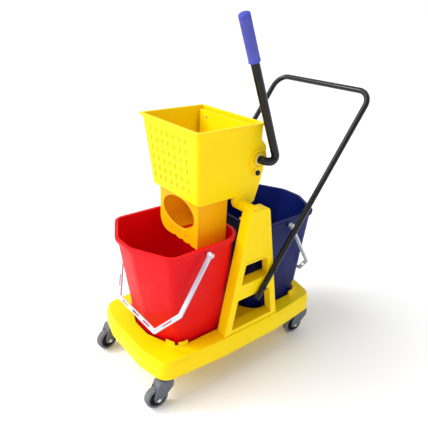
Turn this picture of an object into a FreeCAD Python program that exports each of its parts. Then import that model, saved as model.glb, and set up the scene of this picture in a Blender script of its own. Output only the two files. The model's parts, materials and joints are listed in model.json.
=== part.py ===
import FreeCAD, Part
import math
import os

# Two-bucket mopping trolley with a down-press wringer. Millimetres, +Z up, floor at z = 0.
# The pieces are drawn about the plane between the two buckets, where the A-frames stand: +X is the
# lever side, -Y the wringing bucket's end, +Y the clean bucket's end with the push handle. On export
# everything moves along Y by frame_y, which puts the origin under the middle of the whole trolley.

V = FreeCAD.Vector

# ---- base tray
tray_bottom = 104.0
deck_z = 168.0
bevel_height = 20.0
bevel_inset = 7.0
tray_wall = 4.0
tray_centre_y = -16.0
tray_nose = 352.0
tray_nose_half = 90.0
tray_corner_half = 194.0
tray_corner_y = 328.0
tray_middle_half = 212.0
tray_middle_y = 121.0
tray_floor = 126.0
bucket_clearance = 3.0
lug_height = 16.0
lug_thickness = 5.0
rib_thickness = 3.0
rib_rise = 8.0
tray_ribs = (60.0, 190.0)

# ---- casters
wheel_radius = 37.5
wheel_width = 24.0
hub_radius = 29.0
caster_trail = 34.0
stem_x = 170.0
stem_y = 307.0
stem_radius = 6.0
stem_depth = 24.0
stem_boss_radius = 15.0
race_radius = 18.0
axle_radius = 4.0
fork_width = 37.0
fork_cheek = 3.5
fork_top = 96.0
fork_plate = 10.0
wheel_gap = 3.5
running_gap = 0.3
running_fit = 0.05
caster_turns = {"front_right": -5.0, "front_left": 7.0, "rear_right": -9.0, "rear_left": 4.0}

# ---- buckets (the outer wall at the floor and at the rim)
bucket_rim = 502.0
bucket_wall = 3.0
floor_half, rim_half = 145.0, 161.0
floor_inner_y, rim_inner_y = 40.0, 29.0
floor_shoulder_y, rim_shoulder_y = 256.0, 294.0
floor_nose_y, rim_nose_y = 298.0, 358.0
nose_half = 38.0
frame_pass = 6.9
shoulder_radius = 32.0
nose_radius = 40.0
step_z = 214.0
step_inset = 4.0
step_height = 9.0
lip_width = 7.0
lip_height = 11.0

# ---- bails
bail_pivot_y = 172.0
bail_pivot_drop = 18.0
bail_bar_z = 235.0
bail_bar_gap = 9.2
bail_slant = 92.0
bail_arm_half = 178.5
bail_front_half = 112.0
bail_width = 14.0
bail_thickness = 6.0
bail_groove = 5.5
bail_groove_depth = 2.2
bail_slot = 40.0
bail_slot_width = 6.5
bail_pin_radius = 4.0
bail_boss_radius = 10.0

# ---- A-frames
frame_outer = 201.0
frame_depth = 40.0
frame_skin = 5.0
frame_foot_half = 117.0
frame_top_half = 38.0
frame_top = 592.0
strut_width = 25.0
web_bottom = 415.0
bar_top = 345.0
bar_bottom = 292.0
sill_height = 16.0
barrel_radius = 17.0
barrel_y = -18.0
barrel_z = 588.0
barrel_inner = 104.0
pad_inner = 144.0
pad_z = 550.0
frame_bolt_radius = 4.0

# ---- push handle
tube_radius = 9.5
tube_wall = 2.0
handle_foot_y, handle_foot_z = 4.0, 279.0
handle_top_y, handle_top_z = 456.0, 901.0
handle_bend = 50.0
handle_gap = 0.3
handle_bolt_rise = 20.0
handle_bolt_radius = 4.0

# ---- wringer hopper
hopper_bottom = 616.0
hopper_rim = 840.0
hopper_wall = 4.0
hopper_bottom_half, hopper_rim_half = 124.0, 146.0
hopper_front_bottom, hopper_front_rim = -179.0, -202.0
hopper_rear_rim = 34.0
hopper_skirt = 6.0
rim_lip = 8.0
rim_lip_thickness = 4.5
saddle_gap = 0.3
tail_bottom = 580.0
tail_back = 42.0
waffle_rows, waffle_columns = 6, 7
waffle_pitch, waffle_start = 30.0, 26.0
waffle_width, waffle_height, waffle_depth = 23.0, 17.0, 2.6
saddle_width = 16.0

# ---- wringer throat
throat_half = 103.0
throat_front, throat_rear = -163.0, -52.0
throat_bottom = 462.0
throat_wall = 4.0
throat_flange = 8.0
drain_half, drain_rise, drain_z = 84.0, 50.0, 552.0
throat_round = 44.0
window_width, window_pitch = 30.0, 44.0
window_sill, window_head = 44.0, 20.0
floor_slots, slot_start, slot_pitch = 5, -44.0, 32.0
slot_width, slot_margin = 18.0, 18.0
foot_holes = (-34.0, 4.0, 42.0)

# ---- press mechanism
axle_y = 30.0
lever_axle_z = 730.0
housing_gap = 33.0
gear_module = 2.75
lever_teeth = 14
plate_teeth = 18
pressure_angle = math.radians(25.0)
tooth_backlash = 0.25
gear_thickness = 10.0
gear_x = 100.0
lever_bar_radius = 10.0
plate_bar_radius = 6.0
boss_inner_x = 125.0
boss_outer_x = 148.0
collar_radius, collar_wall = 31.0, 6.0
plate_offset = 31.0
plate_lean = 5.0
plate_thickness = 4.0
plate_bottom, plate_top = 700.0, 830.0
plate_bottom_half, plate_top_half = 117.0, 132.0
plate_ribs = (-60.0, -30.0, 0.0, 30.0, 60.0)
arm_x = 88.0
arm_thickness = 9.0
plate_screw_radius = 2.4
spring_wire, spring_mean, spring_turns, spring_pitch = 1.5, 13.5, 6, 4.2

# ---- lever
lever_radius = 12.5
lever_wall = 2.5
lever_x = 173.0
elbow_y, elbow_z = 75.0, 724.0
lever_top_y, lever_top_z = -91.0, 1127.0
lever_bend = 16.0
elbow_bend = 15.0
grip_radius = 16.5
grip_length = 126.0

bail_pivot_z = bucket_rim - bail_pivot_drop
# The hanging bail's bar rests in front of the tub's nose, which leans out from the floor to the rim.
nose_lean = (rim_nose_y - floor_nose_y) / (bucket_rim - tray_floor)
bail_bar_y = floor_nose_y + nose_lean * (bail_bar_z - tray_floor) + bail_bar_gap
bail_reach = math.hypot(bail_bar_y - bail_pivot_y, bail_pivot_z - bail_bar_z)
bail_arm_reach = bail_reach - bail_slant
bail_hang = math.degrees(math.atan2(bail_pivot_z - bail_bar_z, bail_bar_y - bail_pivot_y))

gear_centres = gear_module * (lever_teeth + plate_teeth) / 2
plate_axle_z = lever_axle_z - gear_centres
housing_y = axle_y + housing_gap
plate_front_y = axle_y - plate_offset
handle_x = frame_outer + handle_gap + tube_radius
front_reach = max(tray_nose, stem_y + caster_trail + wheel_radius)
frame_y = -(handle_top_y + tube_radius + tray_centre_y - front_reach) / 2

# The lower handle bolt goes through the A-frame's crossbar, the upper one through the rear strut's middle.
handle_slope = (handle_top_y - handle_foot_y) / (handle_top_z - handle_foot_z)
strut_slope = (frame_top_half - frame_foot_half) / (frame_top - deck_z)
strut_start = frame_foot_half - strut_width / 2 - strut_slope * deck_z
crossing = (strut_start - handle_foot_y + handle_slope * handle_foot_z) / (handle_slope - strut_slope)
handle_bolt_levels = (bar_bottom + handle_bolt_rise, crossing)

# A bucket's inner corners are round enough for the rim's lip to pass the A-frames' inner edges.
across = rim_half + lip_width - (frame_outer - frame_depth)
along = frame_foot_half + strut_slope * (bucket_rim - deck_z) - (rim_inner_y - lip_width)
lip_corner_radius = across + along + frame_pass + math.sqrt(
    2 * (across * along + across * frame_pass + along * frame_pass + frame_pass ** 2))
inner_corner_radius = lip_corner_radius - lip_width

nodes = {}


# ---------------------------------------------------------------- helpers
def box(x0, x1, y0, y1, z0, z1):
    return Part.makeBox(x1 - x0, y1 - y0, z1 - z0, V(x0, y0, z0))


def rod(start, end, radius):
    return Part.makeCylinder(radius, (end - start).Length, start, end - start)


def x_rod(x0, x1, y, z, radius):
    return rod(V(x0, y, z), V(x1, y, z), radius)


def z_rod(x, y, z0, z1, radius):
    return rod(V(x, y, z0), V(x, y, z1), radius)


def plan(points, z):
    return [V(x, y, z) for x, y in points]


def side(points, x):
    return [V(x, y, z) for y, z in points]


def front(points, y):
    return [V(x, y, z) for x, z in points]


def rounded_wire(points, radii):
    """Closed wire through coplanar points, each corner rounded to its own radius."""
    count = len(points)
    if not isinstance(radii, (list, tuple)):
        radii = [radii] * count
    corners = []
    for i, corner in enumerate(points):
        back = (points[i - 1] - corner).normalize()
        ahead = (points[(i + 1) % count] - corner).normalize()
        half = back.getAngle(ahead) / 2
        reach = radii[i] / math.tan(half)
        middle = (back + ahead).normalize()
        peak = corner + middle * (radii[i] / math.sin(half) - radii[i])
        corners.append((corner + back * reach, peak, corner + ahead * reach))
    edges = []
    for i, (start, peak, end) in enumerate(corners):
        if radii[i] > 0:
            edges.append(Part.Arc(start, peak, end).toShape())
        following = corners[(i + 1) % count][0]
        if (following - end).Length > 1e-6:
            edges.append(Part.LineSegment(end, following).toShape())
    return Part.Wire(edges)


def prism(points, radii, travel):
    return Part.Face(rounded_wire(points, radii)).extrude(travel)


def offset(points, distances):
    """Move each side of a flat outline outwards; side i runs from point i to the next one."""
    count = len(points)
    if not isinstance(distances, (list, tuple)):
        distances = [distances] * count
    area = sum(points[i - 1][0] * points[i][1] - points[i][0] * points[i - 1][1] for i in range(count))
    turn = 1 if area > 0 else -1
    lines = []
    for i in range(count):
        (x0, y0), (x1, y1) = points[i], points[(i + 1) % count]
        length = math.hypot(x1 - x0, y1 - y0)
        nx, ny = turn * (y1 - y0) / length, -turn * (x1 - x0) / length
        lines.append((nx, ny, nx * x0 + ny * y0 + distances[i]))
    moved = []
    for i in range(count):
        (a, b, c), (d, e, f) = lines[i - 1], lines[i]
        scale = a * e - b * d
        moved.append(((c * e - b * f) / scale, (a * f - c * d) / scale))
    return moved


def mirror_x(shape):
    return shape.mirror(V(0, 0, 0), V(1, 0, 0))


def half_turn(shape):
    turned = shape.copy()
    turned.rotate(V(0, 0, 0), V(0, 0, 1), 180)
    return turned


def fuse(shapes):
    return shapes[0].multiFuse(shapes[1:]).removeSplitter()


def group(shapes):
    return Part.Compound(shapes)


def bent_rod(points, bends, radius):
    """Round rod along straight runs joined by tangent arcs."""
    edges = []
    at = points[0]
    for i, bend in enumerate(bends):
        corner = points[i + 1]
        back = (points[i] - corner).normalize()
        ahead = (points[i + 2] - corner).normalize()
        half = back.getAngle(ahead) / 2
        reach = bend / math.tan(half)
        middle = (back + ahead).normalize()
        peak = corner + middle * (bend / math.sin(half) - bend)
        edges.append(Part.LineSegment(at, corner + back * reach).toShape())
        edges.append(Part.Arc(corner + back * reach, peak, corner + ahead * reach).toShape())
        at = corner + ahead * reach
    edges.append(Part.LineSegment(at, points[-1]).toShape())
    path = Part.Wire(edges)
    ring = Part.Wire([Part.Circle(points[0], points[1] - points[0], radius).toShape()])
    return path.makePipeShell([ring], True, False)


def end_circle(shape, point):
    """The round edge whose centre is nearest to a point."""
    circles = [e for e in shape.Edges if isinstance(e.Curve, Part.Circle)]
    return [min(circles, key=lambda e: (e.Curve.Center - point).Length)]


def lerp(low, high, share):
    return low + (high - low) * share


# ---------------------------------------------------------------- buckets
def bucket_plan(z, outset):
    """Outline of the +Y bucket at a height; the inner end faces the middle of the trolley."""
    share = (z - tray_floor) / (bucket_rim - tray_floor)
    half = lerp(floor_half, rim_half, share)
    inner = lerp(floor_inner_y, rim_inner_y, share)
    shoulder = lerp(floor_shoulder_y, rim_shoulder_y, share)
    nose = lerp(floor_nose_y, rim_nose_y, share)
    points = [(half, inner), (half, shoulder), (nose_half, nose),
              (-nose_half, nose), (-half, shoulder), (-half, inner)]
    return offset(points, outset)


def bucket_wire(z, outset):
    radii = [inner_corner_radius, shoulder_radius, nose_radius,
             nose_radius, shoulder_radius, inner_corner_radius]
    return rounded_wire(plan(bucket_plan(z, outset), z), [r + outset for r in radii])


def bucket_tub(inset, bottom, top):
    """The tub's shape: a shallow step near the floor, then one even taper to the rim."""
    levels = [(bottom, step_inset + 2), (bottom + 7, step_inset), (step_z, step_inset),
              (step_z + step_height, 0.0), (top, 0.0)]
    return Part.makeLoft([bucket_wire(z, -inset - extra) for z, extra in levels], True, True)


def bucket():
    outer = bucket_tub(0.0, tray_floor + running_gap, bucket_rim)
    inner = bucket_tub(bucket_wall, tray_floor + running_gap + bucket_wall, bucket_rim + 1)
    lip = Part.Face(bucket_wire(bucket_rim, lip_width)).extrude(V(0, 0, -lip_height))
    lip = lip.makeFillet(3.0, [e for e in lip.Edges if e.BoundBox.ZMin > bucket_rim - 0.1])
    under = Part.Face(bucket_wire(bucket_rim, lip_width - bucket_wall)).extrude(V(0, 0, -lip_height))
    lip = lip.cut(under.translated(V(0, 0, -bucket_wall)))
    skin = outer.cut(inner)
    shell = fuse([skin, lip.cut(inner)])
    share = (bail_pivot_z - tray_floor) / (bucket_rim - tray_floor)
    wall_x = lerp(floor_half, rim_half, share) - bucket_wall / 2
    for sign in (1, -1):
        boss_face = sign * (bail_arm_half - bail_width / 2 - 1.0)
        boss = x_rod(sign * wall_x, boss_face, bail_pivot_y, bail_pivot_z, bail_boss_radius)
        shell = shell.fuse(boss)
        shell = shell.cut(x_rod(sign * (wall_x + 2), boss_face, bail_pivot_y, bail_pivot_z,
                                bail_pin_radius))
    return shell.removeSplitter(), wall_x + 2


def bail_point(across, along, lift):
    """A point of the hanging bail: across the trolley, along the arms, off the bail's face."""
    slope = math.radians(bail_hang)
    y = bail_pivot_y + along * math.cos(slope) + lift * math.sin(slope)
    z = bail_pivot_z - along * math.sin(slope) + lift * math.cos(slope)
    return V(across, y, z)


def bail_slab(points, radii, low, high):
    corners = [bail_point(across, along, low) for across, along in points]
    return prism(corners, radii, bail_point(0, 0, high) - bail_point(0, 0, low))


def bail():
    """Flat carrying handle: two arms, two slanted runs and a front bar, grooved and slotted."""
    half = bail_width / 2
    spine = [(bail_arm_half, -half), (bail_arm_half, bail_arm_reach), (bail_front_half, bail_reach),
             (-bail_front_half, bail_reach), (-bail_arm_half, bail_arm_reach), (-bail_arm_half, -half)]
    outer = offset(spine, [half] * 5 + [0.0])
    inner = offset(spine, [-half] * 5 + [0.0])
    outline = outer + inner[::-1]
    top = bail_thickness / 2
    frame = bail_slab(outline, [half - 0.2, 8, 8, 8, 8, half - 0.2, half - 0.2, 4, 4, 4, 4, half - 0.2],
                      -top, top)
    wide = offset(spine, [bail_groove / 2] * 5 + [0.0])
    narrow = offset(spine, [-bail_groove / 2] * 5 + [0.0])
    for low, high in ((0, 1), (3, 4)):
        corners = [wide[low], wide[high], narrow[high], narrow[low]]
        corners = [(x, max(y, half + 2)) for x, y in corners]
        frame = frame.cut(bail_slab(corners, 0.0, top - bail_groove_depth, top + 1))
    slots = [(x, bail_reach, 0.0) for x in (-66.0, 0.0, 66.0)]
    lean = math.atan2(bail_reach - bail_arm_reach, bail_arm_half - bail_front_half)
    middle = ((bail_arm_half + bail_front_half) / 2, (bail_arm_reach + bail_reach) / 2)
    slots += [(middle[0], middle[1], -lean), (-middle[0], middle[1], lean)]
    for x, y, turn in slots:
        reach = (bail_slot / 2 * math.cos(turn), bail_slot / 2 * math.sin(turn))
        edge = (-bail_slot_width / 2 * math.sin(turn), bail_slot_width / 2 * math.cos(turn))
        corners = [(x + a * reach[0] + b * edge[0], y + a * reach[1] + b * edge[1])
                   for a, b in ((-1, -1), (1, -1), (1, 1), (-1, 1))]
        frame = frame.cut(bail_slab(corners, 2.0, -top - 1, top + 1))
    for sign in (1, -1):
        eye = x_rod(sign * (bail_arm_half - half), sign * (bail_arm_half + half),
                    bail_pivot_y, bail_pivot_z, half + 0.5)
        hole = x_rod(sign * (bail_arm_half - half - 1), sign * (bail_arm_half + half + 1),
                     bail_pivot_y, bail_pivot_z, bail_pin_radius + running_fit)
        frame = frame.fuse(eye).cut(hole)
    return frame.removeSplitter()


def bail_pins(inner_x):
    """Headed pivot pins, one each side."""
    face = bail_arm_half + bail_width / 2 + 0.5
    pin = fuse([x_rod(inner_x, face, bail_pivot_y, bail_pivot_z, bail_pin_radius),
                x_rod(face, face + 3, bail_pivot_y, bail_pivot_z, bail_pin_radius * 1.9)])
    rim = [e for e in pin.Edges if e.BoundBox.XMin > face + 2.9]
    pin = pin.makeFillet(1.2, rim)
    return group([pin, mirror_x(pin)])


# ---------------------------------------------------------------- base tray
def tray_outline(inset):
    corners = []
    for sign in (1, -1):
        half = [(tray_middle_half, sign * tray_middle_y),
                (tray_corner_half, tray_centre_y + sign * tray_corner_y),
                (tray_nose_half, tray_centre_y + sign * tray_nose)]
        ends = half + [(-x, y) for x, y in half[::-1]]
        corners += ends if sign > 0 else ends[::-1]
    return offset(corners, -inset)


def stem_places():
    return [(sx * stem_x, tray_centre_y + sy * stem_y) for sx in (1, -1) for sy in (1, -1)]


def tray_wire(z, inset):
    radii = [4.5, 46.0, 120.0, 120.0, 46.0, 4.5] * 2
    return rounded_wire(plan(tray_outline(inset), z), [max(r - inset, 1.0) for r in radii])


def tray_block(inset, bottom, top, bevel_to):
    """The tray's outline with upright sides and a bevel round the deck."""
    knee = top - bevel_height
    lower = Part.Face(tray_wire(bottom, inset)).extrude(V(0, 0, knee - bottom))
    upper = Part.makeLoft([tray_wire(knee, inset), tray_wire(top, inset + bevel_to)], True, True)
    return lower.fuse(upper)


def well(outset, bottom, top):
    low = bucket_wire(bottom, outset)
    return Part.makeLoft([low, bucket_wire(top, outset)], True, True)


def corner_lug(sign):
    """Raised guide at a bucket's outer corner: two horns with a V notch between them."""
    ring = well(bucket_clearance + lug_thickness, deck_z - 2, deck_z + lug_height)
    ring = ring.cut(well(bucket_clearance, deck_z - 3, deck_z + lug_height + 1))
    x, y = bucket_plan(deck_z, 0)[1]
    zone = box(x - 36, x + 12, y - 30, y + 30, deck_z - 1, deck_z + lug_height)
    lug = ring.common(zone)
    notch = prism([V(x - 18, y - 40, deck_z + 4), V(x + 24, y + 2, deck_z + 4),
                   V(x + 24, y + 2, deck_z + 40), V(x - 18, y - 40, deck_z + 40)], 0.0, V(-9, 9, 0))
    lug = lug.cut(notch.translated(V(0, 22, 0)))
    return lug if sign > 0 else mirror_x(lug)


def base_tray():
    tray = tray_block(0.0, tray_bottom, deck_z, bevel_inset)
    cavity = tray_block(tray_wall, tray_bottom - 1, deck_z - tray_wall, bevel_inset)
    keep = []
    for turn in (lambda s: s, half_turn):
        keep.append(turn(well(bucket_clearance + tray_wall, tray_floor - tray_wall, deck_z)))
        for y in tray_ribs:
            keep.append(turn(box(-tray_middle_half, tray_middle_half, y, y + rib_thickness,
                                 tray_bottom + rib_rise, tray_floor)))
    for x, y in stem_places():
        keep.append(z_rod(x, y, tray_bottom, deck_z, stem_boss_radius))
        keep.append(box(x - rib_thickness / 2, x + rib_thickness / 2, y - 60, y + 60,
                        tray_bottom + rib_rise, deck_z))
    for x in (frame_outer - 10, -frame_outer + 10 - rib_thickness):
        keep.append(box(x, x + rib_thickness, -tray_middle_y, tray_middle_y, tray_bottom + rib_rise, deck_z))
    cavity = cavity.cut(keep[0].multiFuse(keep[1:]))
    tray = tray.cut(cavity)
    lugs = []
    for turn in (lambda s: s, half_turn):
        tray = tray.cut(turn(well(bucket_clearance, tray_floor, deck_z + 1)))
        lugs += [turn(corner_lug(1)), turn(corner_lug(-1))]
    tray = tray.multiFuse(lugs)
    for x, y in stem_places():
        tray = tray.cut(z_rod(x, y, tray_bottom - 1, tray_bottom + stem_depth, stem_radius))
    for x, y in foot_bolt_places():
        tray = tray.cut(z_rod(x, y, deck_z - tray_wall - 1, deck_z + 1, frame_bolt_radius + 0.2))
    return tray.removeSplitter()


# ---------------------------------------------------------------- A-frames
def frame_half(z):
    return lerp(frame_foot_half, frame_top_half, (z - deck_z) / (frame_top - deck_z))


def frame_panel(top, bottom, x0, x1):
    """Window between the struts, from one height to another."""
    low, high = frame_half(bottom) - strut_width, frame_half(top) - strut_width
    corners = [(-low, bottom), (low, bottom), (high, top), (-high, top)]
    return prism(side(corners, x0), 5.0, V(x1 - x0, 0, 0))


def foot_bolt_places():
    x = frame_outer - frame_depth / 2
    y = frame_foot_half - strut_width / 2 - 1
    return [(sx * x, sy * y) for sx in (1, -1) for sy in (1, -1)]


def handle_place(z):
    return lerp(handle_foot_y, handle_top_y, (z - handle_foot_z) / (handle_top_z - handle_foot_z))


def a_frame():
    """One side frame: a channel-section A with its open side inwards and the wringer's barrel on top."""
    inner_x = frame_outer - frame_depth
    outline = [(-frame_foot_half, deck_z), (frame_foot_half, deck_z),
               (frame_top_half, frame_top), (-frame_top_half, frame_top)]
    radii = [2.0, 2.0, 15.0, 15.0]
    body = prism(side(outline, inner_x), radii, V(frame_depth, 0, 0))
    body = body.makeFillet(2.5, [e for e in body.Edges if e.BoundBox.XMin > frame_outer - 0.1])
    hollow = prism(side(offset(outline, -frame_skin), inner_x - 1), [4.0, 4.0, 10.0, 10.0],
                   V(frame_depth - frame_skin + 1, 0, 0))
    ledges = []
    for low, high in ((deck_z, deck_z + sill_height), (bar_bottom, bar_bottom + frame_skin),
                      (bar_top - frame_skin, bar_top), (web_bottom, web_bottom + frame_skin)):
        ledges.append(box(inner_x, frame_outer, -frame_foot_half, frame_foot_half, low, high))
    for sign in (1, -1):
        foot, head = frame_half(deck_z) - strut_width, frame_half(web_bottom) - strut_width
        edge = [(sign * foot, deck_z), (sign * (foot + frame_skin), deck_z),
                (sign * (head + frame_skin), web_bottom), (sign * head, web_bottom)]
        ledges.append(prism(side(edge, inner_x + 12), 0.0, V(frame_depth - 12, 0, 0)))
    hollow = hollow.cut(ledges[0].multiFuse(ledges[1:]))
    body = body.cut(hollow)
    body = body.cut(frame_panel(web_bottom, bar_top, inner_x - 1, frame_outer + 1))
    body = body.cut(frame_panel(bar_bottom, deck_z + sill_height, inner_x - 1, frame_outer + 1))
    recess = prism(side([(-frame_half(web_bottom) + strut_width, web_bottom + 6),
                         (frame_half(web_bottom) - strut_width, web_bottom + 6),
                         (frame_half(560) - 14, 560), (-frame_half(560) + 14, 560)],
                        frame_outer - 2), 3.0, V(3, 0, 0))
    body = body.cut(recess)
    barrel = x_rod(barrel_inner, frame_outer - frame_skin, barrel_y, barrel_z, barrel_radius)
    pad = box(pad_inner, inner_x + 6, barrel_y - barrel_radius, 24, pad_z, pad_z + 6)
    strut = box(pad_inner + 2, inner_x + 6, barrel_y - 3, barrel_y + 3, pad_z + 3, barrel_z)
    body = body.multiFuse([barrel, pad, strut])
    for x, y in foot_bolt_places():
        if x > 0:
            body = body.cut(z_rod(x, y, deck_z - 1, deck_z + sill_height - 3, frame_bolt_radius))
    for z in handle_bolt_levels:
        body = body.cut(x_rod(inner_x, frame_outer + 1, handle_place(z), z, handle_bolt_radius + 0.1))
    return body.removeSplitter()


def hex_prism(centre, axis, across, height):
    """Hexagon nut or bolt head standing on centre, along axis."""
    axis = V(axis).normalize()
    first = axis.cross(V(0, 1, 0) if abs(axis.y) < 0.9 else V(1, 0, 0)).normalize()
    second = axis.cross(first)
    radius = across / math.sqrt(3)
    points = []
    for i in range(6):
        angle = math.radians(60 * i)
        points.append(centre + first * (radius * math.cos(angle)) + second * (radius * math.sin(angle)))
    return prism(points, 0.0, axis * height)


def a_frame_bolts():
    bolts = []
    for x, y in foot_bolt_places():
        seat = deck_z - tray_wall
        shank = z_rod(x, y, seat, deck_z + sill_height - 3, frame_bolt_radius)
        bolts.append(fuse([shank, hex_prism(V(x, y, seat), V(0, 0, -1), 13.0, 5.5)]))
    return group(bolts)


# ---------------------------------------------------------------- push handle
def handle_points():
    foot = V(handle_x, handle_foot_y, handle_foot_z)
    top = V(handle_x, handle_top_y, handle_top_z)
    return [foot, top, V(-top.x, top.y, top.z), V(-foot.x, foot.y, foot.z)]


def push_handle():
    points = handle_points()
    bends = [handle_bend, handle_bend]
    tube = bent_rod(points, bends, tube_radius).cut(bent_rod(points, bends, tube_radius - tube_wall))
    for z in handle_bolt_levels:
        for sign in (1, -1):
            hole = x_rod(sign * (handle_x - 20), sign * (handle_x + 20), handle_place(z), z,
                         handle_bolt_radius)
            tube = tube.cut(hole)
    return tube


def handle_bolts():
    bolts = []
    for z in handle_bolt_levels:
        y = handle_place(z)
        face = handle_x + tube_radius
        inner = frame_outer - frame_skin
        shank = x_rod(inner - 8, face, y, z, handle_bolt_radius)
        dome = Part.makeSphere(9.0, V(face - 4.6, y, z))
        dome = dome.common(box(face, face + 10, y - 10, y + 10, z - 10, z + 10))
        nut = hex_prism(V(inner, y, z), V(-1, 0, 0), 13.0, 6.0)
        nut = nut.cut(x_rod(inner - 7, inner + 1, y, z, handle_bolt_radius))
        bolt = shank.fuse(dome)
        for piece in (bolt, nut):
            bolts += [piece, mirror_x(piece)]
    return group(bolts)


def handle_plugs():
    foot, top = handle_points()[:2]
    along = (top - foot).normalize()
    cap = rod(foot - along * 3, foot, tube_radius)
    cap = cap.makeFillet(1.4, end_circle(cap, foot - along * 3))
    plug = cap.fuse(rod(foot, foot + along * 14, tube_radius - tube_wall))
    return group([plug, mirror_x(plug)])


# ---------------------------------------------------------------- wringer
def hopper_half(z):
    return lerp(hopper_bottom_half, hopper_rim_half,
                (z - hopper_bottom) / (hopper_rim - hopper_bottom))


def hopper_trapezoid(inset, bottom, top, y0, y1):
    """The sloping sides, as a block that other shapes are trimmed to."""
    corners = [(-hopper_half(bottom) + inset, bottom), (hopper_half(bottom) - inset, bottom),
               (hopper_half(top) - inset, top), (-hopper_half(top) + inset, top)]
    return prism(front(corners, y0), 0.0, V(0, y1 - y0, 0))


def hopper_profile():
    """Side view of the hopper: front wall, rim, the gear housing's back, and the floor."""
    return [(hopper_front_bottom, hopper_bottom), (hopper_front_rim, hopper_rim),
            (hopper_rear_rim, hopper_rim), (hopper_rear_rim + 3, hopper_rim - 50),
            (housing_y, lever_axle_z + housing_gap), (housing_y, plate_axle_z - 4),
            (housing_y - 8, plate_axle_z - 40), (throat_rear + 5, hopper_bottom)]


def upright_edges(shape, behind):
    """The two long corner edges of the front wall."""
    return [e for e in shape.Edges if e.BoundBox.YMax < behind and e.BoundBox.ZLength > 180]


def waffle():
    """Shallow rectangular pockets in rows over the front wall."""
    lean = math.degrees(math.atan2(hopper_front_bottom - hopper_front_rim, hopper_rim - hopper_bottom))
    pockets = []
    for row in range(waffle_rows):
        for column in range(waffle_columns):
            x = (column - (waffle_columns - 1) / 2) * waffle_pitch
            z = waffle_start + row * waffle_pitch
            corners = [(x - waffle_width / 2, z), (x + waffle_width / 2, z),
                       (x + waffle_width / 2, z + waffle_height), (x - waffle_width / 2, z + waffle_height)]
            pocket = prism(front(corners, -1), 3.0, V(0, 1 + waffle_depth, 0))
            pockets.append(pocket)
    grid = Part.Compound(pockets)
    grid.rotate(V(0, 0, 0), V(1, 0, 0), lean)
    grid.translate(V(0, hopper_front_bottom, hopper_bottom))
    return grid


def wringer_hopper():
    reach = 2 * frame_outer
    profile = hopper_profile()
    radii = [0.0, 0.0, 0.0, 6.0, 26.0, 12.0, 12.0, 0.0]
    outer = prism(side(profile, -reach / 2), radii, V(reach, 0, 0))
    outer = outer.common(hopper_trapezoid(0.0, hopper_bottom - 60, hopper_rim + 10, -300, 300))
    uprights = upright_edges(outer, hopper_front_bottom + 1)
    outer = outer.makeFillet(13.0, uprights)
    floor_z = hopper_skirt + hopper_wall
    insets = [-hopper_wall, 12.0, -hopper_wall, -hopper_wall, -hopper_wall, -hopper_wall,
              -hopper_wall, -floor_z]
    inner = prism(side(offset(profile, insets), -reach / 2), [0.0, 0.0, 0.0, 4.0, 22.0, 8.0, 8.0, 0.0],
                  V(reach, 0, 0))
    inner = inner.common(hopper_trapezoid(hopper_wall, hopper_bottom - 60, hopper_rim + 20, -300, 300))
    uprights = upright_edges(inner, hopper_front_bottom + 6)
    inner = inner.makeFillet(9.0, uprights)
    lip_points = [(hopper_rim_half + rim_lip, hopper_front_rim - rim_lip),
                  (hopper_rim_half + rim_lip, hopper_rear_rim + rim_lip),
                  (-hopper_rim_half - rim_lip, hopper_rear_rim + rim_lip),
                  (-hopper_rim_half - rim_lip, hopper_front_rim - rim_lip)]
    lip = prism(plan(lip_points, hopper_rim - rim_lip_thickness), [14.0, 5.0, 5.0, 14.0],
                V(0, 0, rim_lip_thickness))
    lip = lip.makeFillet(1.8, [e for e in lip.Edges if e.BoundBox.ZMin > hopper_rim - 0.1])
    tails = tail_plates()
    body = outer.multiFuse([lip] + tails).cut(inner)
    skirt = [(hopper_bottom_half - hopper_wall, hopper_front_bottom + hopper_wall),
             (hopper_bottom_half - hopper_wall, throat_rear + 3),
             (-hopper_bottom_half + hopper_wall, throat_rear + 3),
             (-hopper_bottom_half + hopper_wall, hopper_front_bottom + hopper_wall)]
    body = body.cut(prism(plan(skirt, hopper_bottom - 1), 6.0, V(0, 0, hopper_skirt + 1)))
    mouth = box(-throat_half + throat_wall, throat_half - throat_wall, throat_front + throat_wall,
                throat_rear - throat_wall, hopper_bottom, hopper_bottom + floor_z + 1)
    body = body.cut(mouth)
    body = body.cut(waffle())
    bosses, bores = [], []
    for sign in (1, -1):
        bush = lever_bush_outer(sign)
        bosses.append(x_rod(sign * boss_inner_x, sign * boss_outer_x, axle_y, lever_axle_z, bush + 5))
        bosses.append(x_rod(sign * (hopper_half(lever_axle_z) - 5), sign * (boss_outer_x - 4), axle_y,
                            lever_axle_z, collar_radius).cut(
                      x_rod(sign * (boss_outer_x - 8), sign * boss_outer_x, axle_y, lever_axle_z,
                            collar_radius - collar_wall)))
        bosses.append(x_rod(sign * boss_inner_x, sign * (boss_outer_x - 8), axle_y, plate_axle_z,
                            plate_bar_radius + 8))
        bores.append(x_rod(sign * (boss_inner_x - 1), sign * (boss_outer_x + 1), axle_y,
                           lever_axle_z, bush))
        bores.append(x_rod(sign * (boss_inner_x - 1), sign * (boss_outer_x + 1), axle_y,
                           plate_axle_z, plate_bar_radius + 3))
    body = body.multiFuse(bosses).cut(group(bores))
    for x, y in throat_screw_places():
        body = body.cut(z_rod(x, y, hopper_bottom, hopper_bottom + floor_z + 1, 2.0))
    return body.removeSplitter()


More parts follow.
